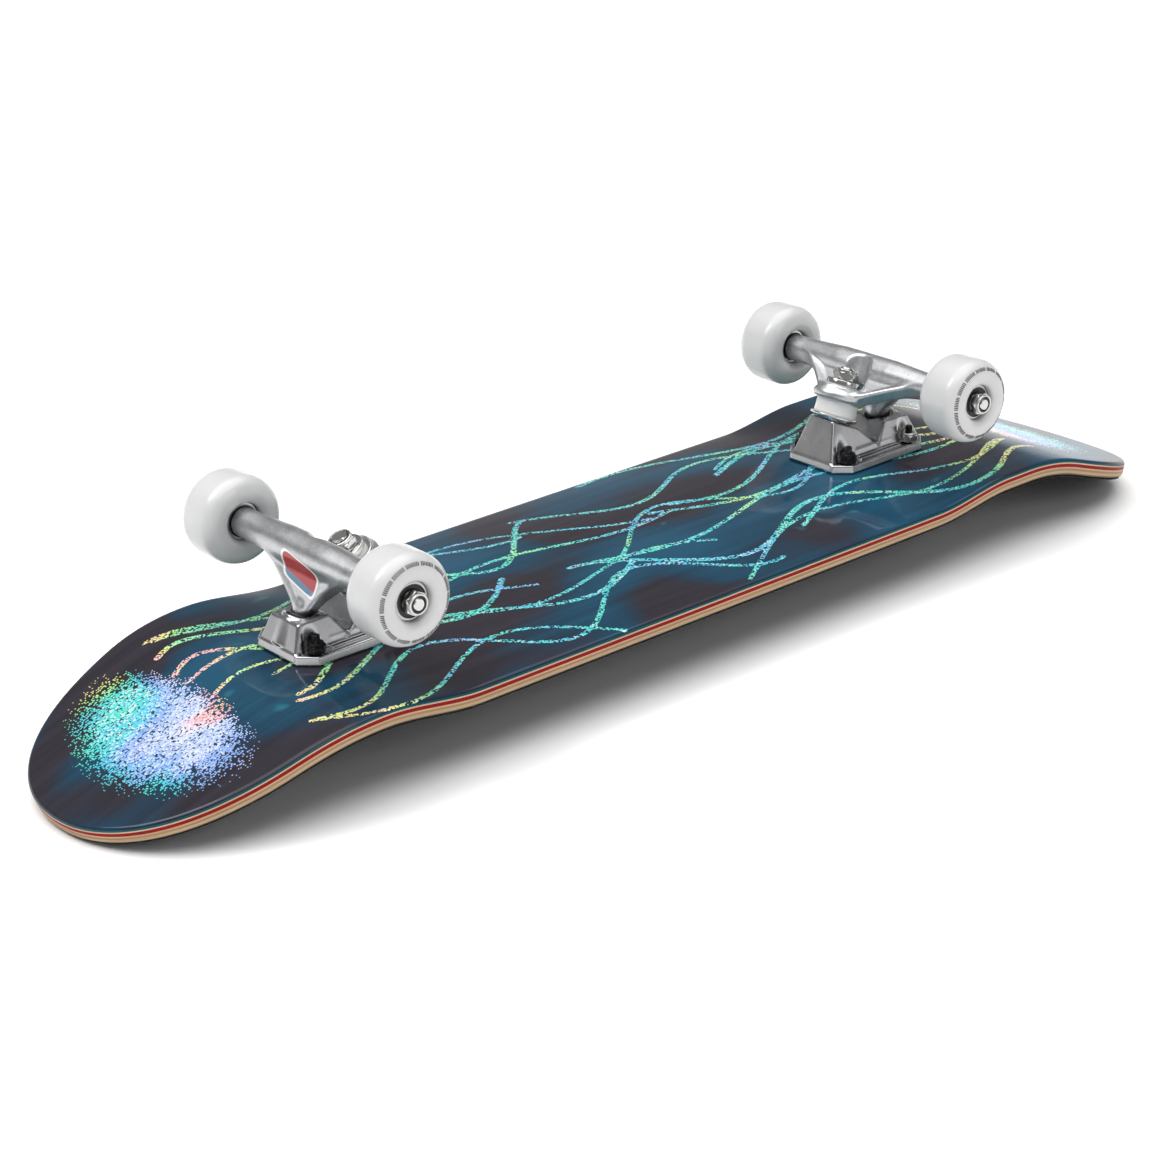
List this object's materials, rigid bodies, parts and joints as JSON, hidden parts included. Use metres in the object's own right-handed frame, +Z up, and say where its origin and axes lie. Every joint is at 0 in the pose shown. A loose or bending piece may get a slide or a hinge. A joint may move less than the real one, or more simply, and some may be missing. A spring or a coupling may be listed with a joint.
{
  "type": "skateboard",
  "caption": "Complete street skateboard lying wheels up: kicked maple deck with grip tape, two sprung tilting trucks and white wheels on ball bearings.",
  "frame": {"origin": "on the floor under the middle of the board, which lies wheels up on the edges of its nose and tail", "axes": "+X along the deck towards the nose, +Y across it, +Z up out of the wheel side; to ride it, it is turned half over about X"},
  "size_m": [0.788, 0.1976, 0.1313],
  "materials": {
    "printed_maple": "gloss lacquered dark print over seven maple plies, with a red ply at the edge",
    "grip_tape": "black silicon-carbide grit",
    "cast_aluminium": "tumbled sand casting",
    "polished_aluminium": "polished die casting",
    "plated_steel": "bright zinc plate",
    "black_steel": "black oxide",
    "bearing_steel": "steel races with black shields",
    "wheel_urethane": "white urethane with a printed ring of ticks",
    "bushing_urethane": "white urethane",
    "pivot_urethane": "black urethane"
  },
  "bodies": {
    "root": {"deck": "printed_maple", "grip_tape": "grip_tape", "tail_baseplate": "polished_aluminium", "tail_kingpin": "plated_steel", "tail_kingpin_nut": "plated_steel", "tail_top_washer": "plated_steel", "tail_cup_washer": "plated_steel", "tail_boardside_bushing": "bushing_urethane", "tail_roadside_bushing": "bushing_urethane", "tail_pivot_cup": "pivot_urethane", "tail_inner_left_bolt": "black_steel", "tail_inner_left_nut": "black_steel", "tail_inner_right_bolt": "black_steel", "tail_inner_right_nut": "black_steel", "tail_outer_left_bolt": "black_steel", "tail_outer_left_nut": "black_steel", "tail_outer_right_bolt": "black_steel", "tail_outer_right_nut": "black_steel", "nose_baseplate": "polished_aluminium", "nose_kingpin": "plated_steel", "nose_kingpin_nut": "plated_steel", "nose_top_washer": "plated_steel", "nose_cup_washer": "plated_steel", "nose_boardside_bushing": "bushing_urethane", "nose_roadside_bushing": "bushing_urethane", "nose_pivot_cup": "pivot_urethane", "nose_inner_left_bolt": "black_steel", "nose_inner_left_nut": "black_steel", "nose_inner_right_bolt": "black_steel", "nose_inner_right_nut": "black_steel", "nose_outer_left_bolt": "black_steel", "nose_outer_left_nut": "black_steel", "nose_outer_right_bolt": "black_steel", "nose_outer_right_nut": "plated_steel"},
    "tail_truck": {"tail_hanger": "cast_aluminium", "tail_axle": "plated_steel", "tail_left_bearing_spacer": "plated_steel", "tail_left_axle_nut": "plated_steel", "tail_right_bearing_spacer": "plated_steel", "tail_right_axle_nut": "plated_steel"},
    "tail_left_wheel_set": {"tail_left_wheel": "wheel_urethane", "tail_left_inner_bearing": "bearing_steel", "tail_left_outer_bearing": "bearing_steel"},
    "tail_right_wheel_set": {"tail_right_wheel": "wheel_urethane", "tail_right_inner_bearing": "bearing_steel", "tail_right_outer_bearing": "bearing_steel"},
    "nose_truck": {"nose_hanger": "cast_aluminium", "nose_axle": "plated_steel", "nose_left_bearing_spacer": "plated_steel", "nose_left_axle_nut": "plated_steel", "nose_right_bearing_spacer": "plated_steel", "nose_right_axle_nut": "plated_steel"},
    "nose_left_wheel_set": {"nose_left_wheel": "wheel_urethane", "nose_left_inner_bearing": "bearing_steel", "nose_left_outer_bearing": "bearing_steel"},
    "nose_right_wheel_set": {"nose_right_wheel": "wheel_urethane", "nose_right_inner_bearing": "bearing_steel", "nose_right_outer_bearing": "bearing_steel"}
  },
  "joints": [
    {"name": "tail_truck_tilt", "type": "hinge", "parent": "root", "child": "tail_truck", "pos_m": [-0.23248, 0, 0.06708], "axis": [0.8038, 0, 0.595], "range_deg": [-12, 12], "stiffness_Nm_per_rad": 25, "deforming": ["tail_boardside_bushing", "tail_roadside_bushing"]},
    {"name": "nose_truck_tilt", "type": "hinge", "parent": "root", "child": "nose_truck", "pos_m": [0.21753, 0, 0.06708], "axis": [-0.8038, 0, 0.595], "range_deg": [-12, 12], "stiffness_Nm_per_rad": 25, "deforming": ["nose_boardside_bushing", "nose_roadside_bushing"]},
    {"name": "tail_left_wheel_spin", "type": "hinge", "parent": "tail_truck", "child": "tail_left_wheel_set", "pos_m": [-0.22046, 0.0803, 0.10525], "axis": [0, 1, 0], "continuous": true},
    {"name": "tail_right_wheel_spin", "type": "hinge", "parent": "tail_truck", "child": "tail_right_wheel_set", "pos_m": [-0.22046, -0.0803, 0.10525], "axis": [0, 1, 0], "continuous": true},
    {"name": "nose_left_wheel_spin", "type": "hinge", "parent": "nose_truck", "child": "nose_left_wheel_set", "pos_m": [0.20552, 0.0803, 0.10525], "axis": [0, 1, 0], "continuous": true},
    {"name": "nose_right_wheel_spin", "type": "hinge", "parent": "nose_truck", "child": "nose_right_wheel_set", "pos_m": [0.20552, -0.0803, 0.10525], "axis": [0, 1, 0], "continuous": true}
  ]
}
